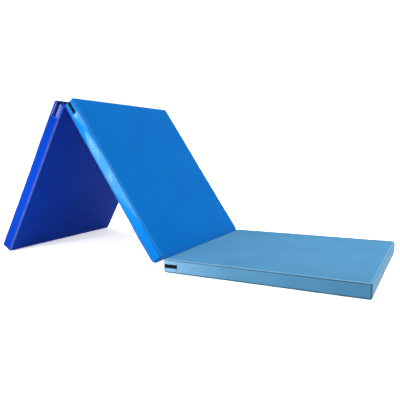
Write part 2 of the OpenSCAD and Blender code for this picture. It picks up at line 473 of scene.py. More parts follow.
COVER = Skin(X_LINES, Y_LINES, RINGS, CORNER_R, CORNER_TURNS)
STATIONS = range(len(COVER.stations))


def cells(rings, stations=STATIONS):
    """The cover's points where these rings meet these stations."""
    return [COVER.at(ring, s) for ring in rings for s in stations]


def ring_at(z):
    return min(range(len(RINGS)), key=lambda ring: abs(RINGS[ring][1] - z))


def stations_at(x):
    """The two stations on the narrow sides at this x."""
    return [
        s for s, (_, place, out) in enumerate(COVER.stations)
        if abs(place[0] - x) < 0.1 * MM and out[0] == 0
    ]


WINDOW_TOP_RING, WINDOW_LOW_RING = ring_at(WINDOW_HIGH), ring_at(WINDOW_LOW)
AT_CROSS_SEAM = stations_at(CROSS_SEAM)
FROM_SEAM_TO_SEAM = list(range(AT_CROSS_SEAM[1], len(STATIONS))) + list(range(AT_CROSS_SEAM[0] + 1))


def sewn_piece(where):
    """The sewn piece that a face of the cover's grid belongs to."""
    if where in ("top", "bottom"):
        return "cover_" + where
    ring, s, t = where
    if ring < SEAM:
        return "cover_top"
    if ring >= LOW_SEAM:
        return "cover_bottom"
    if s not in FROM_SEAM_TO_SEAM or t not in FROM_SEAM_TO_SEAM:
        return "side_band"
    if ring < WINDOW_TOP_RING:
        return "gusset_upper"
    return "window" if ring < WINDOW_LOW_RING else "gusset_lower"


FACES_OF = {}
for face, place in zip(COVER.faces, COVER.where):
    FACES_OF.setdefault(sewn_piece(place), []).append(face)


def sewn_points():
    """The points that stitching holds while the rest of the cover swells."""
    rims = cells((VALLEY, SEAM, LOW_SEAM, LAST_RING - VALLEY))
    window = cells((WINDOW_TOP_RING, WINDOW_LOW_RING), FROM_SEAM_TO_SEAM)
    return sorted(set(rims + window + cells(range(SEAM, LOW_SEAM + 1), AT_CROSS_SEAM)))


# ---- how a cover swells and creases

CLOTH_FRAMES = 20
CLOTH_PRESSURE = 3.0
CLOTH_SLACK = 0.012
CLOTH_UNEVEN = 0.35 * MM              # the start is this uneven, so that it doesn't swell evenly
CLOTH_UNEVEN_SCALE = 28
COVER_NORMALS = COVER.normals()


def swelling(seed):
    """How far each point of a cover moves out when the slack cloth swells off its foam."""
    shift = Vector((seed, 2 * seed, 3 * seed))
    uneven = np.array([noise.noise(Vector(p) * CLOTH_UNEVEN_SCALE + shift) for p in COVER.points])
    sewn = sewn_points()
    uneven[sewn] = 0
    start = COVER.points + COVER_NORMALS * (CLOTH_UNEVEN * uneven)[:, None]
    piece = add_piece("cloth", start, COVER.faces, VINYL["mid"])
    group = piece.vertex_groups.new(name="sewn")
    group.add(sewn, 1.0, "REPLACE")
    modifier = piece.modifiers.new("cloth", "CLOTH")
    settings = modifier.settings
    settings.quality = 6
    settings.mass = 0.4
    settings.tension_stiffness = 40
    settings.compression_stiffness = 40
    settings.shear_stiffness = 12
    settings.bending_stiffness = 0.6
    settings.use_pressure = True
    settings.uniform_pressure_force = CLOTH_PRESSURE
    settings.vertex_group_mass = "sewn"
    settings.shrink_min = -CLOTH_SLACK
    settings.effector_weights.gravity = 0
    modifier.collision_settings.use_collision = False
    modifier.point_cache.frame_start = 1
    modifier.point_cache.frame_end = CLOTH_FRAMES
    for number in range(1, CLOTH_FRAMES + 1):
        bpy.context.scene.frame_set(number)
    swollen = piece.evaluated_get(bpy.context.evaluated_depsgraph_get()).to_mesh()
    moved = np.zeros(len(start) * 3)
    swollen.vertices.foreach_get("co", moved)
    bpy.context.scene.frame_set(1)
    bpy.data.objects.remove(piece)
    return ((moved.reshape(-1, 3) - COVER.points) * COVER_NORMALS).sum(1)


def capped(values, limit):
    return limit * np.tanh(values / limit)


def fading(distance, reach):
    """1 at a seam and 0 well past reach from it."""
    return np.exp(-np.maximum(distance, 0) / reach)


def ripples(points, scale, seed):
    """Smooth noise from -1 to 1 at each point, with a scale for each axis in waves per metre."""
    stretch = Vector(scale)
    shift = Vector((seed * 5.3, seed * 2.9, seed * 7.1))
    return np.array([noise.noise(Vector(p) * stretch + shift) for p in points])


# The creases of each panel's cover. Those on its narrow sides are strongest at the cross seams, and
# lean from upright by an angle in radians. The gusset strips pucker, because the zip is sewn in
# tighter than the sheets.
SIDE_CREASE = {"left": 0.6 * MM, "mid": 1.1 * MM, "right": 0.8 * MM}
SIDE_CREASE_REACH = {"left": 50 * MM, "mid": 110 * MM, "right": 90 * MM}
SIDE_CREASE_LEAN = {"left": 0.3, "mid": 0.98, "right": 0.15}
SIDE_LUMPS = 0.45 * MM
DRAG_FOLD = 1.8 * MM
DRAG_FOLD_REACH = 260 * MM
GUSSET_PUCKER = {"left": 0.95 * MM, "mid": 0.16 * MM, "right": 0.12 * MM}
SIDE_PUCKER_PITCH = 5.4 * MM
END_PUCKER_PITCH = 26 * MM
FACE_RIPPLE = 0.35 * MM
FACE_RIPPLE_REACH = 14 * MM
FACE_LUMPS = 0.3 * MM


def step_up(value, width):
    """A soft step from 0 to 1 where value passes 0."""
    return 1 / (1 + np.exp(np.clip(-value / width, -60, 60)))


def drag_folds(x, y, z):
    """1 on the two flat folds dragged into the middle panel's narrow sides, and 0 beside them.

    One starts at the cross seam and narrows away from it. The other starts where that one ends,
    widens to the whole side, and runs out against the bottom edge. Their borders are straight lines
    in the distance past the seam and the height over the bottom edge (from the top edge on the far
    side), all in millimetres here.
    """
    past = (x - CROSS_SEAM) / MM
    height = np.where(y < 0, z, PANEL_T - z) / MM
    first = step_up(height - 12 - 0.27 * past, 1.5) * step_up(40 - height, 1.5)
    first *= step_up(60 - past, 8)
    second = step_up(height - 27 + 0.3 * (past - 55), 2) * step_up(past - 52, 5)
    second *= step_up(28 + 0.12 * (past - 60) - height, 1.5)
    second *= step_up(height - 5 - 0.25 * (past - 300), 2.5)
    return first + second


def side_creases(side, seed):
    """How far the narrow sides and the puckered gusset strips move out or in."""
    points = COVER.points
    x, y, z = points.T
    off_middle = np.abs(z - MID_Z)
    past = x - CROSS_SEAM
    lean = SIDE_CREASE_LEAN[side]
    across = x * math.cos(lean) + z * math.sin(lean)
    along = z * math.cos(lean) - x * math.sin(lean)
    leaning = np.column_stack([across, y, along])
    folds = ripples(leaning, (52, 3, 9), seed) + 0.5 * ripples(leaning, (110, 3, 16), seed + 5)
    relief = SIDE_CREASE[side] * fading(past, SIDE_CREASE_REACH[side]) * folds
    relief += SIDE_LUMPS * ripples(points, (17, 9, 9), seed + 1)
    if side == "mid":
        relief += DRAG_FOLD * fading(past, DRAG_FOLD_REACH) * (drag_folds(x, y, z) - 0.5)
    narrow = (np.abs(y) > PANEL_W / 2 - 1.5 * MM) & (off_middle < MID_Z - 3 * MM)
    between_seams = np.clip(1 - ((z - MID_Z) / (MID_Z - 3.5 * MM)) ** 2, 0, 1)
    moves = narrow * between_seams * (past > 0) * relief

    from_window = off_middle - (WINDOW_HIGH - MID_Z)
    from_sheet = MID_Z - 3.5 * MM - off_middle
    free = np.clip(from_window / (4 * MM), 0, 1) * np.clip(from_sheet / (3 * MM), 0, 1)
    on_side = np.abs(y) > PANEL_W / 2 - 2 * MM
    waves = np.where(on_side, (x + 0.6 * z) / SIDE_PUCKER_PITCH, y / END_PUCKER_PITCH)
    pucker = np.sin(2 * math.pi * waves + 1.5 * ripples(points, (30, 30, 30), seed + 2))
    in_gusset = (past < 0) & (off_middle < MID_Z - 3 * MM)
    return moves + in_gusset * free * GUSSET_PUCKER[side] * pucker


def from_outline(points):
    """How far in each point lies from the panel's outline in plan."""
    x, y, _ = points.T
    return np.minimum(np.minimum(x, PANEL_L - x), PANEL_W / 2 - np.abs(y))


def creases(side, seed):
    """How far each point of the cover moves out or in with the creases."""
    points = COVER.points
    inside = from_outline(COVER.points) - EDGE[VALLEY][0]
    on_face = np.clip(inside / (2 * MM), 0, 1)
    by_seam = FACE_RIPPLE * fading(inside, FACE_RIPPLE_REACH) * ripples(points, (48, 48, 0), seed + 3)
    lumps = FACE_LUMPS * ripples(points, (7, 7, 0), seed + 4)
    return side_creases(side, seed) + on_face * (by_seam + lumps)


# Radius in side view of each edge across the mat, by (the end away from the zip, top). The right
# panel's zip end and the middle panel's free lower edge are the softest.
EDGE_RADIUS = {
    "left": {(0, 0): 6 * MM, (0, 1): 6 * MM, (1, 0): 3.6 * MM, (1, 1): 3.6 * MM},
    "mid": {(0, 0): 3.6 * MM, (0, 1): 3.6 * MM, (1, 0): 9 * MM, (1, 1): 3.6 * MM},
    "right": {(0, 0): 11 * MM, (0, 1): 11 * MM, (1, 0): 3.6 * MM, (1, 1): 3.6 * MM},
}
WAIST = 1.2 * MM
END_WAIST = 0.5 * MM


def rounded_edge(out, up):
    """Moves points in a square corner onto arcs round its centre, from where out and up are measured."""
    inside = (out > 0) & (up > 0)
    scale = np.where(inside, np.maximum(out, up) / np.maximum(np.hypot(out, up), 1e-9), 1.0)
    return np.where(inside, out * scale, out), np.where(inside, up * scale, up)


def softened(points, side):
    """A block with its cross edges rounded, and its sides drawn in a little between the corners."""
    x, y, z = points.T.copy()
    for (end, top), radius in EDGE_RADIUS[side].items():
        out = x - (PANEL_L - radius) if end else radius - x
        up = z - (PANEL_T - radius) if top else radius - z
        out, up = rounded_edge(out, up)
        x = out + (PANEL_L - radius) if end else radius - out
        z = up + (PANEL_T - radius) if top else radius - up
    if side == "mid":
        x, z = sagged(x, z)
    along = np.clip((x - GUSSET_WRAP) / (PANEL_L - GUSSET_WRAP), 0, 1)
    y = y * (1 - WAIST / (PANEL_W / 2) * np.sin(math.pi * along) ** 2)
    x = x - END_WAIST * np.clip(x / PANEL_L, 0, 1) ** 4 * (1 - (2 * y / PANEL_W) ** 2)
    return np.column_stack([x, y, z])


SAG_REACH = 130 * MM
SAG_THINNING = 4 * MM
SAG_BULGE = 2.6 * MM
SAG_BULGE_Z = 7 * MM
SAG_BULGE_SPREAD = 5 * MM


def sagged(x, z):
    """The middle panel's lower end: thinner towards the floor, with its foam slumped to the end."""
    near_end = np.clip((x - PANEL_L + SAG_REACH) / SAG_REACH, 0, 1) ** 2
    below = np.clip(1 - z / PANEL_T, 0, 1)
    bulge = SAG_BULGE * np.exp(-((z - SAG_BULGE_Z) / SAG_BULGE_SPREAD) ** 2)
    return x + near_end ** 3 * bulge, z + SAG_THINNING * near_end * below


# The rolls at the edges are painted paler: partly real rubbing, partly painted highlight.
ROLL_SCUFF_AND_HIGHLIGHT = {"left": 0.9, "mid": 0.4, "right": 0.8}
ROLL_SCUFF_HIGHLIGHT_REACH = 3.5 * MM
HIGHLIGHT_CREST_HEIGHT = 0.6 * MM                      # a crease this high starts to get a painted highlight on its crest, with some rubbing


def roll_scuff_and_highlight(points):
    """How much each point is paled, partly by rubbing and partly by painted highlight: most along the rolls
    at the edges, and at the corners.
    """
    z = points[:, 2]
    near = fading(from_outline(points) + np.minimum(z, PANEL_T - z), ROLL_SCUFF_HIGHLIGHT_REACH)
    return np.clip(1.2 * near - 0.12, 0, 1)


def painted_side_highlight(side, x, y, z):
    """How much paler the narrow sides are painted, as painted highlights: on the left panel's lower gusset,
    on the dragged folds, and towards the zip end.
    """
    if side == "left":
        return np.where((x < CROSS_SEAM) & (z < MID_Z), 0.3, 0.0)
    if side == "mid":
        return 0.34 * (x > CROSS_SEAM) * drag_folds(x, y, z)
    return 0.6 * fading(x, 130 * MM)


TOP_CROWN = 0.8 * MM
BOTTOM_CROWN = 0.3 * MM
CROWN_REACH = 20 * MM
FACE_SWELL = 0.25 * MM
SIDE_SWELL = 0.4 * MM
CROSS_SEAM_DEPTH = 0.9 * MM
CORNER_SEAM_DEPTH = 1.3 * MM

# At the fold between the middle and right panels, the sheet runs straight on into the hinge strip.
FOLD_VALLEY_FILL = 0.38 * MM
FOLD_SEAM_FILL = 2.2 * MM


def shaped_cover(side):
    """The points of one panel's cover, crowned, swollen and creased, and how much each one is paled by
    rubbing and by painted highlights.
    """
    seed = SIDES.index(side) + 1
    swell = swelling(seed)
    crease = creases(side, 10 * seed)
    x, y, z = COVER.points.T
    inside = from_outline(COVER.points) - EDGE[VALLEY][0]
    face = inside > 0.1 * MM
    crown = 1 - fading(inside, CROWN_REACH)
    top, bottom = face & (z > MID_Z), face & (z < MID_Z)
    moves = np.where(face, capped(swell, FACE_SWELL), capped(swell, SIDE_SWELL)) + crease
    moves[top] += TOP_CROWN * crown[top]
    moves[bottom] += BOTTOM_CROWN * crown[bottom]
    if side == "right":   # it lies on the floor, so its underside stays flat
        moves[bottom] = EDGE[0][1] * crown[bottom]
    at_fold = fold_stations(side)
    moves[cells([VALLEY], at_fold)] = FOLD_VALLEY_FILL
    moves[cells([SEAM], at_fold)] = FOLD_SEAM_FILL
    points = COVER.points + COVER_NORMALS * moves[:, None]
    groove(points, AT_CROSS_SEAM, CROSS_SEAM_DEPTH)
    groove(points, outer_corners(), CORNER_SEAM_DEPTH)
    on_band = (np.abs(z - MID_Z) < MID_Z - 3.5 * MM) & (np.abs(y) > PANEL_W / 2 - 1.5 * MM)
    # Crease crests and the paler patches on the narrow sides are painted highlights; the rolls are partly
    # rubbing, partly painted highlight.
    scuffing_and_highlight = np.clip(crease / HIGHLIGHT_CREST_HEIGHT - 0.6, 0, 1) + painted_side_highlight(side, x, y, z)
    scuffing_and_highlight = ROLL_SCUFF_AND_HIGHLIGHT[side] * roll_scuff_and_highlight(points) + on_band * scuffing_and_highlight
    scuffing_and_highlight[cells(range(SEAM + 1), at_fold)] = 0
    return softened(points, side), np.clip(scuffing_and_highlight, 0, 1)


def fold_stations(side):
    """The stations along the edge that the fold between the middle and right panels joins."""
    if side == "left":
        return []
    out = (1, 0) if side == "mid" else (-1, 0)
    return [s for s in STATIONS if COVER.stations[s][2] == out]


def outer_corners():
    """The stations at the middle of the two upright corners away from the zip end."""
    return [
        s for s, (_, _, out) in enumerate(COVER.stations)
        if out[0] > 0.1 and abs(abs(out[1]) - out[0]) < 0.05
    ]


def groove(points, stations, depth):
    """Draws the band in along an upright seam at each of these stations."""
    for s in stations:
        out = np.array(COVER.stations[s][2])
        points[cells(range(SEAM + 1, LOW_SEAM), [s]), :2] -= depth * out


# ---- the sewn pieces of a cover

SHEET_T = 0.6 * MM


def seam_dirt_and_shade(side):
    """1 in the seams, where the sheet is turned in: partly dirt that gathers there, partly painted shade in
    the seam grooves and at the upright corners, and 0 away from them.

    The edges at the fold between the middle and right panels get none, under their hinge strip.
    """
    dirt_and_shade = np.zeros(len(COVER.points))
    for seam in (SEAM, LOW_SEAM):
        for ring, mark in ((seam - 1, 0.35), (seam, 1), (seam + 1, 0.35)):
            dirt_and_shade[cells([ring])] = mark
    dirt_and_shade[cells((SEAM - 1, SEAM, SEAM + 1), fold_stations(side))] = 0
    for corner in outer_corners():
        for s, mark in ((corner - 1, 0.5), (corner, 1), (corner + 1, 0.5)):
            dirt_and_shade[cells(range(SEAM - 1, LOW_SEAM + 2), [s])] = mark
    dirt_and_shade[cells(range(SEAM, LOW_SEAM + 1), AT_CROSS_SEAM)] = 0.25
    return dirt_and_shade


def cut_piece(name, label, points, scuffing_and_highlight, side):
    """The cover's faces with this label as a piece of their own."""
    faces = FACES_OF[label]
    used = sorted({k for face in faces for k in face})
    renumbered = {k: n for n, k in enumerate(used)}
    vertices, scuffing_and_highlight, dirt_and_shade = points[used], scuffing_and_highlight[used], seam_dirt_and_shade(side)[used]
    faces = [[renumbered[k] for k in face] for face in faces]
    if label.startswith("gusset"):
        vertices, faces = hemmed(vertices, faces, renumbered, label)
        hem = np.zeros(len(vertices) - len(dirt_and_shade))
        scuffing_and_highlight, dirt_and_shade = np.concatenate([scuffing_and_highlight, hem]), np.concatenate([dirt_and_shade, hem])
    piece = add_piece(name, vertices, faces, VINYL[side], side)
    for attribute, values in (("scuff_and_highlight", scuffing_and_highlight), ("seam", dirt_and_shade)):
        piece.data.attributes.new(attribute, "FLOAT", "POINT").data.foreach_set("value", values)
    return piece


# A gusset strip's hem in section, in millimetres, as (depth, distance from the window): round the
# window's edge and back behind the strip.
HEM = [(0.35, -0.35), (0.95, -0.35), (1.35, 0.15), (1.35, 3.2), (1.35, 6.5)]


def hemmed(vertices, faces, renumbered, label):
    """The gusset strip with its free edge folded in behind it."""
    upper = label == "gusset_upper"
    ring = WINDOW_TOP_RING if upper else WINDOW_LOW_RING
    count = len(FROM_SEAM_TO_SEAM)
    rows = [[renumbered[COVER.at(ring, s)] for s in FROM_SEAM_TO_SEAM]]
    edge = vertices[rows[0]]
    out = np.array([COVER.stations[s][2] for s in FROM_SEAM_TO_SEAM])
    for depth, away in HEM:
        row = edge.copy()
        row[:, :2] -= out * depth * MM
        row[:, 2] += away * MM if upper else -away * MM
        rows.append(list(range(len(vertices), len(vertices) + count)))
        vertices = np.concatenate([vertices, row])
    if not upper:
        rows.reverse()
    for above, below in zip(rows, rows[1:]):
        for s in range(count - 1):
            faces.append([above[s], below[s], below[s + 1], above[s + 1]])
    return vertices, faces


def make_cover(side):
    points, scuffing_and_highlight = shaped_cover(side)
    for label in ("cover_top", "cover_bottom", "side_band", "gusset_upper", "gusset_lower"):
        piece = cut_piece(f"{label}_{side}_vinyl", label, points, scuffing_and_highlight, side)
        subdivided(piece)
        thickened(piece, SHEET_T)
        finish_piece(piece, label, side)
    return points


COVERS = {side: make_cover(side) for side in SIDES}


# ---- foam cores

FOAM_INSET = 3.4 * MM
FOAM_DROP = 2.5 * MM
FOAM_R = 6 * MM
FOAM_GRID = 16 * MM
FOAM_LUMPS = 0.3 * MM
ZIP_HOLLOW = 2 * MM

# The foam's edge in section, like EDGE.
FOAM_EDGE = [(FOAM_R, 0), (3 * MM, 0.2 * MM), (0.9 * MM, 1.2 * MM), (0, 3.4 * MM)]


def foam_skin():
    """A block with softly rounded edges, a little inside the cover."""
    inset = FOAM_INSET + FOAM_R
    height = PANEL_T - 2 * FOAM_DROP
    rings = (
        [(in_, FOAM_DROP + height - drop) for in_, drop in FOAM_EDGE]
        + [(0, FOAM_DROP + drop) for drop in reversed(steps(FOAM_R, height - FOAM_R, 4 * MM))]
        + [(in_, FOAM_DROP + drop) for in_, drop in reversed(FOAM_EDGE)]
    )
    xs = steps(inset, PANEL_L - inset, FOAM_GRID)
    ys = steps(inset - PANEL_W / 2, PANEL_W / 2 - inset, FOAM_GRID)
    return Skin(xs, ys, rings, FOAM_R, 3)


FOAM_SKIN = foam_skin()


def make_foam(side):
    """A foam core, pressed in round the zip."""
    points = FOAM_SKIN.points.copy()
    x, y, z = points.T
    by_zip = np.abs(z - MID_Z) < TAPE_REACH
    points[by_zip & (x < FOAM_INSET + FOAM_R), 0] += ZIP_HOLLOW
    beside = by_zip & (x < TAPE_HIGH[0]) & (np.abs(y) > PANEL_W / 2 - FOAM_INSET - FOAM_R)
    points[beside, 1] -= ZIP_HOLLOW * np.sign(points[beside, 1])
    lumps = FOAM_LUMPS * ripples(points, (30, 30, 30), SIDES.index(side))
    points += FOAM_SKIN.normals() * lumps[:, None]
    piece = add_piece(f"foam_core_{side}_block", softened(points, side), FOAM_SKIN.faces, FOAM, side)
    subdivided(piece)
    finish_piece(piece, "foam_core", side)


for side in SIDES:
    make_foam(side)


# ---- zips

SLIDER_LOW, SLIDER_HIGH = local_box("zip_slider", "right")
PULL_LOW, PULL_HIGH = local_box("zip_pull", "right")
ZIP_STRAIGHT = PANEL_W / 2 - CORNER_R
ZIP_CORNER = CORNER_R * math.pi / 2


def zip_point(travel, depth):
    """The place in plan at this distance along the zip from the panel's middle."""
    side, distance = (1 if travel > 0 else -1), abs(travel)
    if distance <= ZIP_STRAIGHT:
        return depth, travel
    if distance <= ZIP_STRAIGHT + ZIP_CORNER:
        angle = (distance - ZIP_STRAIGHT) / CORNER_R
        radius = CORNER_R - depth
        return CORNER_R - radius * math.cos(angle), side * (ZIP_STRAIGHT + radius * math.sin(angle))
    return CORNER_R + distance - ZIP_STRAIGHT - ZIP_CORNER, side * (PANEL_W / 2 - depth)


def zip_reach(x):
    """Distance along the zip from the panel's middle to this x on a narrow side."""
    return ZIP_STRAIGHT + ZIP_CORNER + x - CORNER_R


def tube(path, radius, sides):
    """A closed tube along a line of points, as vertices and faces."""
    path = np.asarray(path)
    tangents = np.gradient(path, axis=0)
    tangents /= np.linalg.norm(tangents, axis=1)[:, None]
    across = np.cross(tangents[0], (0.3, 0.5, 0.8))
    vertices = []
    for point, tangent in zip(path, tangents):
        across = across - tangent * np.dot(across, tangent)
        across /= np.linalg.norm(across)
        other = np.cross(tangent, across)
        for k in range(sides):
            angle = 2 * math.pi * k / sides
            vertices.append(point + radius * (math.cos(angle) * across + math.sin(angle) * other))
    return vertices, tube_faces(len(path), sides)


COIL_DEEP = 2.4 * MM
COIL_PITCH = 1.45 * MM
COIL_WIRE = 0.38 * MM
COIL_STEPS = 9
COIL_CORE = 0.45 * MM


def make_coil(side, up):
    """One nylon coil of the zip, wound on a cord along the CAD coil's middle."""
    name = "upper" if up > 0 else "lower"
    reach = zip_reach(COIL_HIGH[0] - 0.5 * MM)
    turns = int(2 * reach / COIL_PITCH)
    middle = (COIL_LOW[2] + COIL_HIGH[2]) / 2 - MID_Z
    middle_depth = COIL_LOW[0] + COIL_DEEP / 2
    wide = (COIL_HIGH[2] - COIL_LOW[2]) / 2 - COIL_WIRE
    deep = COIL_DEEP / 2 - COIL_WIRE
    phase = 0 if up > 0 else 0.5
    path = []
    for k in range(turns * COIL_STEPS + 1):
        turn = k / COIL_STEPS
        angle = 2 * math.pi * (turn + phase)
        place = zip_point(-reach + turn * COIL_PITCH, middle_depth + deep * math.sin(angle))
        path.append((*place, MID_Z + up * (middle + wide * math.cos(angle))))
    travels = steps(-reach, reach, 5 * MM)
    cord = [(*zip_point(travel, middle_depth), MID_Z + up * middle) for travel in travels]
    vertices, faces = merged([tube(path, COIL_WIRE, 5), tube(cord, COIL_CORE, 6)])
    piece = add_piece(f"zip_coil_{name}_{side}_nylon", vertices, faces, COIL, side)
    finish_piece(piece, f"zip_coil_{name}", side)


STRIP_GRID = 4 * MM


def strip_along_zip(name, side, heights, depth, thickness):
    """A woven strip that follows the zip at this depth, with a row of points at each height."""
    reach = zip_reach(TAPE_HIGH[0])
    travels = steps(-reach, reach, STRIP_GRID)
    vertices = [(*zip_point(travel, depth), MID_Z + height) for travel in travels for height in heights]
    piece = add_piece(name, vertices, lattice(len(travels), len(heights)), TAPE, side)
    subdivided(piece)
    return thickened(piece, thickness)


GUARD_DEPTH = SLIDER_HIGH[0] + 0.3 * MM
GUARD_T = 0.35 * MM
TAPE_T = 0.5 * MM


def make_guard(side):
    """The strip behind the zip that keeps it off the foam. It clears the slider."""
    reach = TAPE_REACH - 1.5 * MM
    heights = steps(-reach, reach, 5 * MM)
    piece = strip_along_zip(f"zip_guard_{side}", side, heights, GUARD_DEPTH, GUARD_T)
    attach(piece, "panel_" + side)


def make_tape(side, up):
    """One tape of the zip, from its coil to its edge behind the gusset strip."""
    name = "upper" if up > 0 else "lower"
    by_coil = TAPE_LOW[2] - MID_Z - 0.4 * MM
    heights = [by_coil, 3.6 * MM, 4.6 * MM, 6.5 * MM, 10 * MM, TAPE_REACH]
    if up < 0:
        heights = [-height for height in reversed(heights)]
    depth = TAPE_DEPTH + 0.05 * MM
    piece = strip_along_zip(f"zip_tape_{name}_{side}_woven", side, heights, depth, TAPE_T)
    finish_piece(piece, f"zip_tape_{name}", side)


def slab(outline, low, high):
    """A plate between two depths with this outline in (y, z), as vertices and faces."""
    count = len(outline)
    vertices = [(depth, y, z) for depth in (low, high) for y, z in outline]
    faces = [tuple(range(count)), tuple(reversed(range(count, 2 * count)))]
    for k in range(count):
        n = (k + 1) % count
        faces.append((n, k, k + count, n + count))
    return vertices, faces


def bevelled(piece, width):
    modifier = piece.modifiers.new("bevel", "BEVEL")
    modifier.width = width
    modifier.segments = 2
    modifier.limit_method = "ANGLE"
    modifier.angle_limit = math.radians(35)
    return piece


PLATE_T = 1 * MM
BRIDGE_R = 0.35 * MM


def plate_shape(middle, half_length, half_width):
    """The outline of a slider's plates: a squared oval that narrows towards its nose."""
    shape = []
    for k in range(32):
        angle = 2 * math.pi * k / 32
        squared = max(abs(math.cos(angle)), abs(math.sin(angle))) ** 0.75
        along, across = math.cos(angle) / squared, math.sin(angle) / squared
        taper = 1 - 0.32 * max(0, -along - 0.35)
        along = max(-1, min(1, along))
        shape.append((middle + half_length * along, MID_Z + half_width * taper * across))
    return shape


def bar(y_ends, z_ends, low, high):
    (y_low, y_high), (z_low, z_high) = y_ends, z_ends
    return slab([(y_low, z_low), (y_high, z_low), (y_high, z_high), (y_low, z_high)], low, high)


def make_slider(side):
    """The slider: two plates with a nose, side flanges, the dividing post and the pull's bridge."""
    middle = (SLIDER_LOW[1] + SLIDER_HIGH[1]) / 2
    half_l = (SLIDER_HIGH[1] - SLIDER_LOW[1]) / 2
    half_w = (SLIDER_HIGH[2] - SLIDER_LOW[2]) / 2
    top = COIL_LOW[0] - 0.3 * MM - PLATE_T
    bottom = SLIDER_HIGH[0] - PLATE_T
    shape = plate_shape(middle, half_l, half_w)
    parts = [slab(shape, depth, depth + PLATE_T) for depth in (top, bottom)]
    flange = middle - half_l / 3, middle + half_l - 0.4 * MM
    for up in (-1, 1):
        across = sorted(MID_Z + up * (half_w - inset) for inset in (0.85 * MM, 0.1 * MM))
        parts.append(bar(flange, across, top + 0.8 * MM, TAPE_DEPTH - 0.3 * MM))
        parts.append(bar(flange, across, TAPE_DEPTH + 0.9 * MM, bottom + 0.2 * MM))
    nose = middle - half_l + 0.2 * MM
    post_sides = MID_Z - 0.2 * MM, MID_Z + 0.2 * MM
    parts.append(bar((nose, nose + 2.1 * MM), post_sides, top + 0.5 * MM, bottom + 0.5 * MM))
    rise = top - SLIDER_LOW[0] - BRIDGE_R
    arch = []
    for k in range(13):
        angle = math.pi * k / 12
        lift = rise * min(1, 1.35 * math.sin(angle))
        arch.append((top + 0.1 * MM - lift, middle - 2.5 * MM * math.cos(angle), MID_Z))
    parts.append(tube(arch, BRIDGE_R, 8))
    piece = add_piece(f"zip_slider_{side}_body", *merged(parts), METAL, side)
    bevelled(piece, 0.2 * MM)
    finish_piece(piece, "zip_slider", side, body="slider")


PULL_POINTS = 40
PULL_HOLE_R = 1.3 * MM
PULL_EYE_L = 4.6 * MM
PULL_RIM = 0.8 * MM
RIDGE_PITCH = 1.5 * MM
RIDGE_REACH = 1.7 * MM
RIDGE_R = 0.22 * MM


def oval(middle, half_length, half_width, power):
    """An outline in (y, z) that is an ellipse at power 2 and squarer above it."""
    shape = []
    for k in range(PULL_POINTS):
        angle = 2 * math.pi * k / PULL_POINTS
        along, across = math.cos(angle), math.sin(angle)
        size = (abs(along) ** power + abs(across) ** power) ** (-1 / power)
        shape.append((middle + half_length * along * size, MID_Z + half_width * across * size))
    return shape


def plate_with_hole(outer, inner, low, high):
    """A plate between two depths, from one outline to another inside it, as vertices and faces."""
    vertices = [(depth, y, z) for depth in (low, high) for y, z in outer + inner]
    count = PULL_POINTS
    faces = []
    for k in range(count):
        n = (k + 1) % count
        faces.append((k, n, count + n, count + k))
        faces.append((3 * count + k, 3 * count + n, 2 * count + n, 2 * count + k))
        faces.append((n, k, 2 * count + k, 2 * count + n))
        faces.append((count + k, count + n, 3 * count + n, 3 * count + k))
    return vertices, faces


def make_pull(side):
    """The pull: a flat tab with an eye, a round tip with a hole, and grip ridges."""
    depths = PULL_LOW[0] + 0.05 * MM, PULL_HIGH[0] - 0.05 * MM
    half_w = (PULL_HIGH[2] - PULL_LOW[2]) / 2
    start, tip = PULL_LOW[1] + 0.4 * MM, PULL_HIGH[1]
    eye_end = start + PULL_EYE_L
    eye_middle = (start - 0.4 * MM + eye_end) / 2
    eye_half = (eye_end - start + 0.8 * MM) / 2
    tab_middle = (eye_end + tip) / 2 - 0.2 * MM
    tab_half = (tip - eye_end) / 2 + 0.2 * MM
    eye = oval(eye_middle, eye_half, 2 * MM, 4)
    eye_hole = oval(eye_middle, eye_half - PULL_RIM, 1.05 * MM, 4)
    tab = oval(tab_middle, tab_half, half_w, 5)
    tip_hole = oval(tip - 3.4 * MM, PULL_HOLE_R, PULL_HOLE_R, 2)
    parts = [plate_with_hole(eye, eye_hole, *depths), plate_with_hole(tab, tip_hole, *depths)]
    for k in range(6):
        y = tab_middle + (k - 3) * RIDGE_PITCH
        zs = (MID_Z - RIDGE_REACH, MID_Z, MID_Z + RIDGE_REACH)
        parts.append(tube([(depths[0] + 0.05 * MM, y, z) for z in zs], RIDGE_R, 8))
    piece = add_piece(f"zip_pull_{side}_tab", *merged(parts), METAL, side)
    bevelled(piece, 0.15 * MM)
    finish_piece(piece, "zip_pull", side, body="pull")


for side in SIDES:
    make_guard(side)
    for up in (1, -1):
        make_coil(side, up)
        make_tape(side, up)
    make_slider(side)
    make_pull(side)


# ---- hinge strips

STRIP_T = 0.8 * MM
STRIP_LOOSE = 0.25 * MM
FOLD_PAINTED_SHADE = 0.75                      # painted shade: how dark the first panel's half is, deep in the fold
STRIP_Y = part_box("hinge_strip_right")[1].y


def seam_by_fold(radius):
    """Where an edge's seam lies, seen from the fold's axis: x into the panel, z towards its face."""
    inset, drop = EDGE[SEAM]
    out, up = rounded_edge(np.array([radius - inset]), np.array([radius - drop]))
    return Vector((FOLD_GAP / 2 + radius - out[0], 0, up[0] - radius - FOLD_RISE))


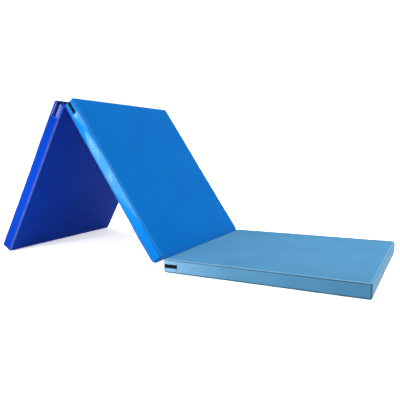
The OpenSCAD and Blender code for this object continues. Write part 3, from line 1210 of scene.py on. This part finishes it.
def make_hinge_strip(name, to_axis, angle, radii, colour):
    """A strip sewn into the seams of two panels, running close by the fold's axis.

    to_axis brings a frame to the fold, with the first panel along +x and below z = -FOLD_RISE. In
    that frame the second panel is the first one's mirror image, turned by angle. radii are those of
    the two edges that it joins.
    """
    def half(seam):
        return [
            seam + Vector((10 * MM, 0, 2.1 * MM)),
            seam + Vector((5 * MM, 0, 1.8 * MM)),
            seam + Vector((2 * MM, 0, 0.9 * MM)),
            seam,
            0.7 * seam,
            0.4 * seam,
        ]

    middle = 0.6 * MM * Vector((-math.sin(angle / 2), 0, -math.cos(angle / 2)))
    mirror = Matrix.Rotation(angle, 4, "Y") @ Matrix.Scale(-1, 4, Vector((1, 0, 0)))
    start, end = seam_by_fold(radii[0]), seam_by_fold(radii[1])
    line = half(start) + [middle] + [mirror @ point for point in reversed(half(end))]
    ys = steps(-STRIP_Y, STRIP_Y, 8 * MM)
    vertices = []
    for y in ys:
        for j, point in enumerate(line):
            free = 4 <= j <= len(line) - 5
            loose = free * STRIP_LOOSE * noise.noise(Vector((y * 40, j * 0.3, angle)))
            vertices.append(to_axis @ (point + Vector((0, y, loose))))
    piece = add_piece(name + "_vinyl", vertices, lattice(len(ys), len(line)), VINYL[colour])
    # Painted shade: the strip's half by the first panel is darkened, deep in the fold.
    dirt_and_shade = [FOLD_PAINTED_SHADE * (j < len(line) // 2) for j in range(len(line))] * len(ys)
    piece.data.attributes.new("seam", "FLOAT", "POINT").data.foreach_set("value", dirt_and_shade)
    subdivided(piece)
    thickened(piece, STRIP_T).modifiers["thickness"].offset = 0
    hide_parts(name)
    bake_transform(piece)


APEX = LIFTED @ Vector((FOLD_AT.x - PITCH, 0, -FOLD_RISE))
make_hinge_strip(
    "hinge_strip_right",
    Matrix.Translation(FOLD_AT),
    LIFT,
    radii=(EDGE_RADIUS["right"][0, 1], EDGE_RADIUS["mid"][1, 1]),
    colour="mid",
)
make_hinge_strip(
    "hinge_strip_left",
    Matrix.Translation(APEX) @ Matrix.Rotation(LIFT, 4, "Y") @ Matrix.Scale(-1, 4, Vector((0, 0, 1))),
    FOLDED,
    radii=(EDGE_RADIUS["mid"][0, 0], EDGE_RADIUS["left"][0, 0]),
    colour="left",
)


# ---- stitches

STITCH_PITCH = 4.4 * MM
THREAD_R = 0.3 * MM
STITCH_SIDES = 6

# A stitch along its length: (place from -1 to 1, thickness, height over the sheet in radii).
STITCH = [(-1, 0.5, -0.9), (-0.6, 1, 0.2), (0, 1, 0.45), (0.6, 1, 0.2), (1, 0.5, -0.9)]


def stitch_row(line, normals, pitch=STITCH_PITCH):
    """Stitches along a line of points, as (middle, half its length as a vector, normal)."""
    line, normals = np.asarray(line), np.asarray(normals)
    travelled = np.concatenate([[0], np.cumsum(np.linalg.norm(np.diff(line, axis=0), axis=1))])
    count = round(travelled[-1] / pitch)
    places = (np.arange(count) + 0.5) * travelled[-1] / count

    def at(values, where):
        return np.column_stack([np.interp(where, travelled, values[:, k]) for k in range(3)])

    half = 0.36 * pitch
    before, after = at(line, places - half), at(line, places + half)
    up = at(normals, places)
    up /= np.linalg.norm(up, axis=1)[:, None]
    return (before + after) / 2, (after - before) / 2, up


def make_stitches(side, rows):
    """All the stitches of one panel as one piece."""
    middle, along, up = (np.concatenate(parts) for parts in zip(*rows))
    across = np.cross(along, up)
    across /= np.linalg.norm(across, axis=1)[:, None]
    rings = []
    for place, thickness, height in STITCH:
        for k in range(STITCH_SIDES):
            angle = 2 * math.pi * k / STITCH_SIDES
            rings.append(
                middle + place * along
                + THREAD_R * (height + thickness * math.sin(angle)) * up
                + THREAD_R * thickness * math.cos(angle) * across)
    vertices = np.stack(rings, axis=1)
    template = [face[::-1] for face in tube_faces(len(STITCH), STITCH_SIDES)]
    faces = [[k + n * len(rings) for k in face] for n in range(len(middle)) for face in template]
    piece = add_piece(f"stitches_{side}", vertices.reshape(-1, 3), faces, THREAD[side], side)
    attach(piece, "panel_" + side)


def stitch_rows(side):
    """The rows of stitches on one panel."""
    points = COVERS[side]
    rows = []
    for ring, normal in ((VALLEY, (0, 0, 1)), (LAST_RING - VALLEY, (0, 0, -1))):
        loop = cells([ring])
        line = points[loop + loop[:1]] + 0.27 * MM * np.array(normal)
        rows.append(stitch_row(line, [normal] * len(line)))
    for ring in (WINDOW_TOP_RING - 1, WINDOW_LOW_RING + 1):
        out = np.array([COVER.stations[s][2] + (0,) for s in FROM_SEAM_TO_SEAM[1:-1]])
        line = points[cells([ring], FROM_SEAM_TO_SEAM[1:-1])] + 0.05 * MM * out
        rows.append(stitch_row(line, out, 3.4 * MM))
    for s in stations_at(CROSS_SEAM + TOPSTITCH):
        out = COVER.stations[s][2] + (0,)
        line = points[cells(range(SEAM + 1, LOW_SEAM), [s])] + 0.05 * MM * np.array(out)
        rows.append(stitch_row(line, [out] * len(line), 3.4 * MM))
    return rows


for side in SIDES:
    make_stitches(side, stitch_rows(side))


# ---- stage, lights and camera

def make_stage():
    size = 30
    floor = add_piece(
        "floor",
        [(-size, -size, 0), (size, -size, 0), (size, size, 0), (-size, size, 0)],
        [(0, 1, 2, 3)],
        speckled("pale_floor", (0.79, 0.79, 0.79, 1), (0.78, 0.78, 0.78, 1), 3, 0.8, bump=0.0, specular=0.0),
    )
    glow = floor.data.materials[0].node_tree.nodes["Principled BSDF"]
    glow.inputs["Emission Color"].default_value = (1, 0.97, 0.88, 1)
    glow.inputs["Emission Strength"].default_value = 0.6


def make_lights():
    world = bpy.data.worlds.new("studio")
    bpy.context.scene.world = world
    world.use_nodes = True
    graph = Graph(world.node_tree)
    rays = graph.add("LightPath", {}).outputs
    graph.fill(world.node_tree.nodes["Background"], {
        "Color": graph.mix(rays["Is Glossy Ray"], (0.96, 0.98, 1, 1), (0.4, 0.72, 1, 1)),
        "Strength": graph.spread(rays["Is Camera Ray"], {"To Min": 0.52, "To Max": 1.4}),
    })

    def lamp(name, kind, energy, place, target, size):
        light = bpy.data.lights.new(name, kind)
        light.energy = energy
        if kind == "SUN":
            light.angle = size
        else:
            light.shape = "DISK"
            light.size = size
            light.spread = math.radians(80)
        holder = bpy.data.objects.new(name, light)
        holder.location = place
        holder.rotation_euler = (Vector(target) - Vector(place)).to_track_quat("-Z", "Y").to_euler()
        holder.visible_camera = False
        bpy.context.scene.collection.objects.link(holder)

    lamp("sky", "SUN", 3.9, (0.28, -0.03, 0.96), (0, 0, 0), math.radians(35))
    lamp("near_left", "AREA", 7.2, (-1.1, -1.4, 0.35), (-0.72, -0.3, 0.2), 0.45)
    lamp("far_right", "AREA", 1.7, (0.5, 0.2, 1.3), (0.3, 0.1, 0), 0.5)


def make_camera():
    """The camera that the photograph was taken with, solved from the mat's straight edges."""
    camera = bpy.data.objects.new("camera", bpy.data.cameras.new("camera"))
    camera.data.sensor_width = 36
    camera.data.lens = 41.34
    forward = Vector((-0.4666, 0.8776, -0.1099))
    camera.rotation_mode = "QUATERNION"
    roll = Matrix.Rotation(math.radians(0.69), 3, forward)
    camera.rotation_quaternion = (roll @ forward.to_track_quat("-Z", "Y").to_matrix()).to_quaternion()
    camera.location = (0.4647, -1.5117, 0.3908)
    camera.data.clip_end = 100
    bpy.context.scene.collection.objects.link(camera)
    bpy.context.scene.camera = camera


make_stage()
make_lights()
make_camera()
bpy.context.scene.view_settings.view_transform = "Standard"
